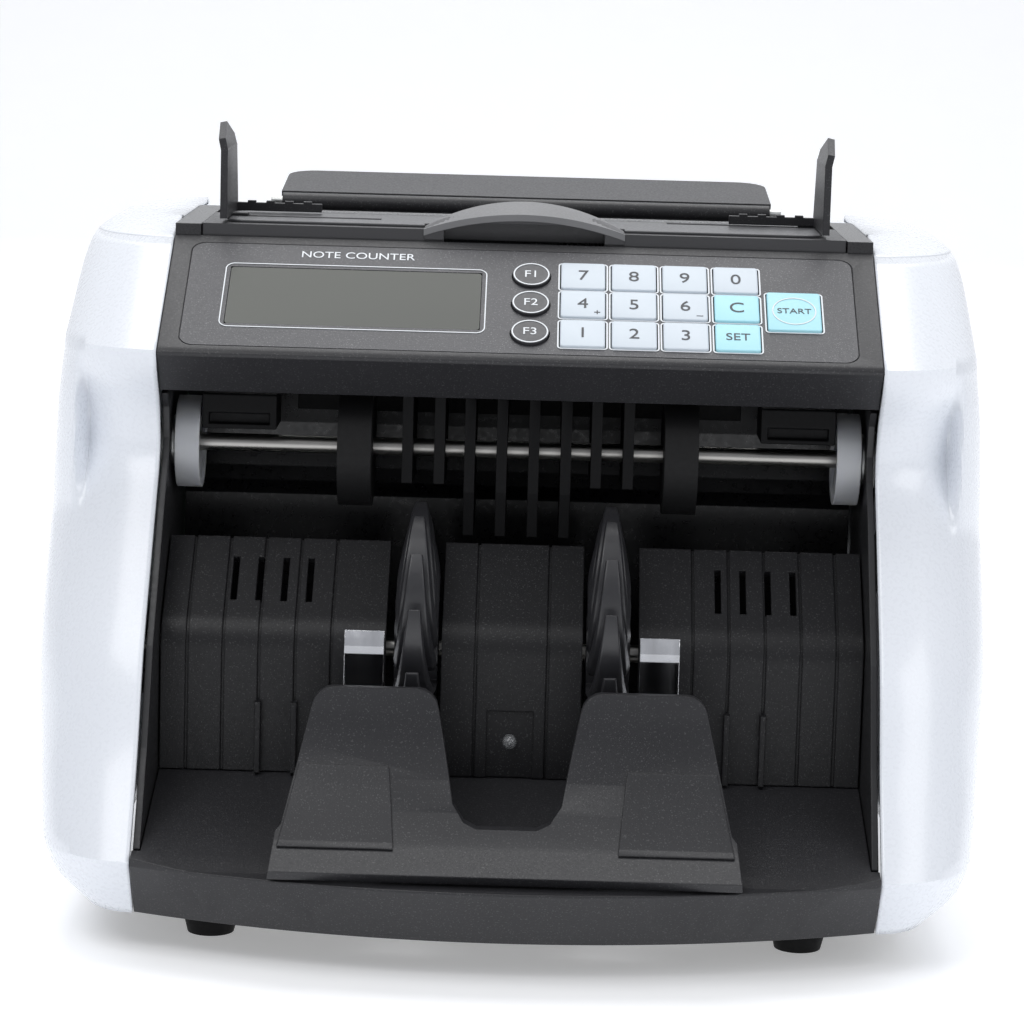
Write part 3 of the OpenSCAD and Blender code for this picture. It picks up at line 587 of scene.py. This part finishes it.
def makeWheel(name, side, w):
    low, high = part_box("stacker_wheels")
    axis = (low + high) / 2
    tip = (high.z - low.z) / 2 - w["inset"] * mm
    width = w["rootWidth"] * mm
    x = side * (high.x - width / 2 - w["sideGap"] * mm)
    bm = bmesh.new()
    loops = []
    for i in range(w["sections"] + 1):
        k = i / w["sections"]
        taper = max(0, k - w["taperFrom"]) / (1 - w["taperFrom"])
        half = (w["rootWidth"] + (w["tipWidth"] - w["rootWidth"]) * taper) * mm / 2
        thick = (w["rootThick"] + (w["tipThick"] - w["rootThick"]) * k) * mm / 2
        before = k - w["near"] if k > 0.5 else k
        path = bladePoint(w, tip, min(1, k + w["near"])) - bladePoint(w, tip, before)
        out = Vector((0, -path.z, path.y)).normalized()
        centre = bladePoint(w, tip, k)
        ring = [bm.verts.new(centre + Vector((sx * half, 0, 0)) + out * sy * thick)
                for sx, sy in ((-1, -1), (1, -1), (w["crest"], 1), (-w["crest"], 1))]
        loops.append([bm.edges.new((ring[j], ring[(j + 1) % 4])) for j in range(4)])
        if i in (0, w["sections"]):
            bm.faces.new(ring)
    for a, b in zip(loops, loops[1:]):
        bmesh.ops.bridge_loops(bm, edges=a + b)
    copies = w["blades"] - 1
    bmesh.ops.spin(bm, geom=bm.verts[:] + bm.edges[:] + bm.faces[:], cent=(0, 0, 0), axis=(1, 0, 0),
                   dvec=(0, 0, 0), angle=2 * pi * copies / w["blades"], steps=copies, use_duplicate=True)
    hub = bmesh.ops.create_cone(bm, cap_ends=True, segments=64, radius1=w["hub"] * mm, radius2=w["hub"] * mm,
                                depth=width)["verts"]
    bmesh.ops.rotate(bm, verts=hub, cent=(0, 0, 0), matrix=Matrix.Rotation(pi / 2, 3, "Y"))
    bmesh.ops.translate(bm, verts=bm.verts, vec=(x, axis.y, axis.z))
    piece = place(bm, name, bodyOf["stacker_wheels"], slotOf["stacker_wheels"], bladeBlack, ["stacker_wheels"], 40)
    addBevel(piece, w["edge"] * mm, 2)


# clear bulb of the tray sensor in the stack plate's recess, in mm from the plate's front lower edge
lensShape = {"radius": 2.0, "stretch": 1.6, "back": 3.4, "up": 10.3}


def makeExitLens(c):
    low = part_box("stack_plate")[0]
    bm = bmesh.new()
    bmesh.ops.create_uvsphere(bm, u_segments=24, v_segments=16, radius=c["radius"] * mm)
    upper = [v for v in bm.verts if v.co.z > 0]
    bmesh.ops.translate(bm, verts=upper, vec=(0, 0, c["stretch"] * mm))
    bmesh.ops.rotate(bm, verts=bm.verts, cent=(0, 0, 0), matrix=Matrix.Rotation(pi / 2, 3, "X"))
    bmesh.ops.translate(bm, verts=bm.verts, vec=(0, low.y + c["back"] * mm, low.z + c["up"] * mm))
    m, tree, shader = makeTree("clearLens")
    tree.links.new(rampFrom(tree, noiseOn(tree, 400, 1), [(0.3, (0.75, 0.78, 0.8)), (0.7, (0.9, 0.92, 0.95))]),
                   shader.inputs["Base Color"])
    surface(tree, shader, noiseOn(tree, 500, 1), 0.05, 0.0001, 0)
    shader.inputs["Transmission Weight"].default_value = 0.8
    shader.inputs["Roughness"].default_value = 0.08
    place(bm, "exitLens", "machine", "lcd_glass", m, smooth=60)


makeRounded()
makeWheel("leftWheelBlades", -1, wheelShape)
makeWheel("rightWheelBlades", 1, wheelShape)
makeStackSheet(sheetShape)
makeArchBand(archShape)
makeExitLens(lensShape)
print("mouldings and wheels made")

panelPrint = {"lift": 0.05 * mm, "thick": 0.09 * mm, "labelSize": 6.4 * mm, "smallSize": 3.3 * mm,
              "threeLetters": 1.35, "cornerSteps": 8}
pressAxis = Vector(next(j["axis"] for j in frame["joints"] if j["name"] == "key_5_press"))
outOfPanel = -pressAxis
upPanel = Vector((0, -pressAxis.z, pressAxis.y))
panelTurn = Matrix((Vector((1, 0, 0)), upPanel, outOfPanel)).transposed().to_4x4()


def middle(node):
    low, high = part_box(node)
    return (low + high) / 2


# the point straight out of the panel from the node's middle, level with the node's outer face
def faceOf(node):
    mid = middle(node)
    return mid + outOfPanel * max((v.co - mid).dot(outOfPanel) for v in nodes[node].data.vertices)


# flat outline with a hole, as a printed ring of the given line width
def ringMesh(width, depth, radius, line):
    bm = bmesh.new()
    loops = []
    for inset in (0, line):
        w, d, r = width / 2 - inset, depth / 2 - inset, max(radius - inset, 0.02 * mm)
        steps = panelPrint["cornerSteps"]
        loop = []
        for quarter in range(4):
            cx = (w - r) * (1 if quarter in (0, 3) else -1)
            cy = (d - r) * (1 if quarter in (0, 1) else -1)
            for k in range(steps + 1):
                a = (quarter + k / steps) * pi / 2
                loop.append(bm.verts.new((cx + r * cos(a), cy + r * sin(a), 0)))
        loops.append([bm.edges.new((loop[i], loop[(i + 1) % len(loop)])) for i in range(len(loop))])
    bmesh.ops.bridge_loops(bm, edges=loops[0] + loops[1])
    thicken(bm, panelPrint["thick"])
    return bm


def thicken(bm, depth):
    raised = bmesh.ops.extrude_face_region(bm, geom=bm.faces[:])["geom"]
    bmesh.ops.translate(bm, verts=[g for g in raised if isinstance(g, bmesh.types.BMVert)], vec=(0, 0, depth))


def textMesh(words, size):
    curve = bpy.data.curves.new("label", "FONT")
    curve.body = words
    curve.size = size
    curve.align_x = "CENTER"
    curve.align_y = "CENTER"
    curve.extrude = panelPrint["thick"] / 2
    curve.resolution_u = 6
    holder = bpy.data.objects.new("label", curve)
    bpy.context.collection.objects.link(holder)
    bpy.context.view_layer.update()
    mesh = bpy.data.meshes.new_from_object(holder.evaluated_get(bpy.context.evaluated_depsgraph_get()))
    bpy.data.objects.remove(holder)
    bm = bmesh.new()
    bm.from_mesh(mesh)
    bmesh.ops.remove_doubles(bm, verts=bm.verts, dist=1e-6)
    return bm


# lays a flat bmesh on the panel with its middle at the point
def onPanel(bm, point, shift=(0, 0), lift=None):
    at = point + Vector((shift[0], 0, 0)) + upPanel * shift[1] + outOfPanel * (lift or panelPrint["lift"])
    bmesh.ops.transform(bm, matrix=Matrix.Translation(at) @ panelTurn, verts=bm.verts)
    return bm


squareKeys = {"key_1": "1", "key_2": "2", "key_3": "3", "key_4": "4", "key_5": "5", "key_6": "6",
              "key_7": "7", "key_8": "8", "key_9": "9", "key_0": "0", "key_c": "C", "key_set": "SET",
              "key_start": "START"}
cornerMarks = {"key_4": "+", "key_6": "–"}
keyShape = {"depth": 12.1 * mm, "startDepth": 17.5 * mm, "tall": 4.0 * mm, "corner": 0.9 * mm, "edge": 0.35 * mm,
            "proud": 0.8 * mm, "borderSide": 1.5 * mm, "borderEnd": 0.95 * mm, "borderRound": 1.2 * mm,
            "borderLine": 0.42 * mm, "markSize": 3.6 * mm, "markShift": 4 * mm, "startRing": 12.4 * mm,
            "startLine": 0.35 * mm}


def widthOf(node):
    low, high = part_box(node)
    return high.x - low.x


def depthOf(node, c):
    return c["startDepth"] if node == "key_start" else c["depth"]


def makeKeyCap(node, c):
    bm = bmesh.new()
    bmesh.ops.create_cube(bm, size=1)
    bmesh.ops.scale(bm, vec=(widthOf(node), depthOf(node, c), c["tall"]), verts=bm.verts)
    upright = [e for e in bm.edges if abs(e.verts[0].co.z - e.verts[1].co.z) > c["tall"] / 2]
    bmesh.ops.bevel(bm, geom=upright, offset=c["corner"], affect="EDGES", segments=5, profile=0.5, material=-1)
    rim = [e for e in bm.edges if min(v.co.z for v in e.verts) > c["tall"] / 2 - c["edge"]]
    bmesh.ops.bevel(bm, geom=rim, offset=c["edge"], affect="EDGES", segments=3, profile=0.5, material=-1)
    sunk = faceOf(node) - outOfPanel * c["tall"] / 2
    bmesh.ops.transform(bm, matrix=Matrix.Translation(sunk) @ panelTurn, verts=bm.verts)
    place(bm, node + "_cap", bodyOf[node], slotOf[node], swaps=[node], smooth=30)


def makeKeyBorder(node, c):
    ring = ringMesh(widthOf(node) + c["borderSide"], depthOf(node, c) + c["borderEnd"], c["borderRound"],
                    c["borderLine"])
    flush = faceOf(node) - outOfPanel * c["proud"]
    place(onPanel(ring, flush), node + "_border", "machine", "panel_film", printWhite, smooth=0)


def makeSquareKeys(c):
    for node, words in squareKeys.items():
        makeKeyCap(node, c)
        size = panelPrint["labelSize"] if len(words) == 1 else panelPrint["smallSize"]
        grow = panelPrint["threeLetters"] if len(words) == 3 else 1
        label = onPanel(textMesh(words, size * grow), faceOf(node))
        place(label, node + "_label", bodyOf[node], slotOf[node], printBlack, smooth=0)
        if node in cornerMarks:
            corner = (c["markShift"], -c["markShift"])
            mark = onPanel(textMesh(cornerMarks[node], c["markSize"]), faceOf(node), corner)
            place(mark, node + "_mark", bodyOf[node], slotOf[node], printBlack, smooth=0)
        makeKeyBorder(node, c)
    across = c["startRing"]
    ring = onPanel(ringMesh(across, across, across / 2, c["startLine"]), faceOf("key_start"))
    place(ring, "start_ring", bodyOf["key_start"], "key_cyan", printWhite, smooth=0)


roundKeyShape = {"across": 10.2 * mm, "line": 0.4 * mm, "labelSize": 4.4 * mm}


def makeRoundKeys(c):
    for i, node in enumerate(("key_f1", "key_f2", "key_f3")):
        ring = onPanel(ringMesh(c["across"], c["across"], c["across"] / 2, c["line"]), faceOf(node))
        place(ring, node + "_ring", bodyOf[node], "key_dark", printWhite, smooth=0)
        label = onPanel(textMesh("F%d" % (i + 1), c["labelSize"]), faceOf(node))
        place(label, node + "_label", bodyOf[node], "key_dark", printWhite, smooth=0)


displayPrint = {"outlineGrow": 3.2 * mm, "outlineDepth": 29.6 * mm, "corner": 2.6 * mm, "line": 0.32 * mm,
                "title": "NOTE COUNTER", "titleSize": 4.2 * mm, "titleShift": 19.6 * mm, "lift": 0.15 * mm}


def makeDisplayPrint(c):
    glass = faceOf("lcd_window")
    outline = ringMesh(widthOf("lcd_window") + c["outlineGrow"], c["outlineDepth"], c["corner"], c["line"])
    title = textMesh(c["title"], c["titleSize"])
    for bm, shift, name in ((outline, 0, "displayOutline"), (title, c["titleShift"], "panelTitle")):
        place(onPanel(bm, glass, (0, shift), c["lift"]), name, "machine", "panel_film", printWhite, smooth=0)


makeSquareKeys(keyShape)
makeRoundKeys(roundKeyShape)
makeDisplayPrint(displayPrint)
print("keys and print made")
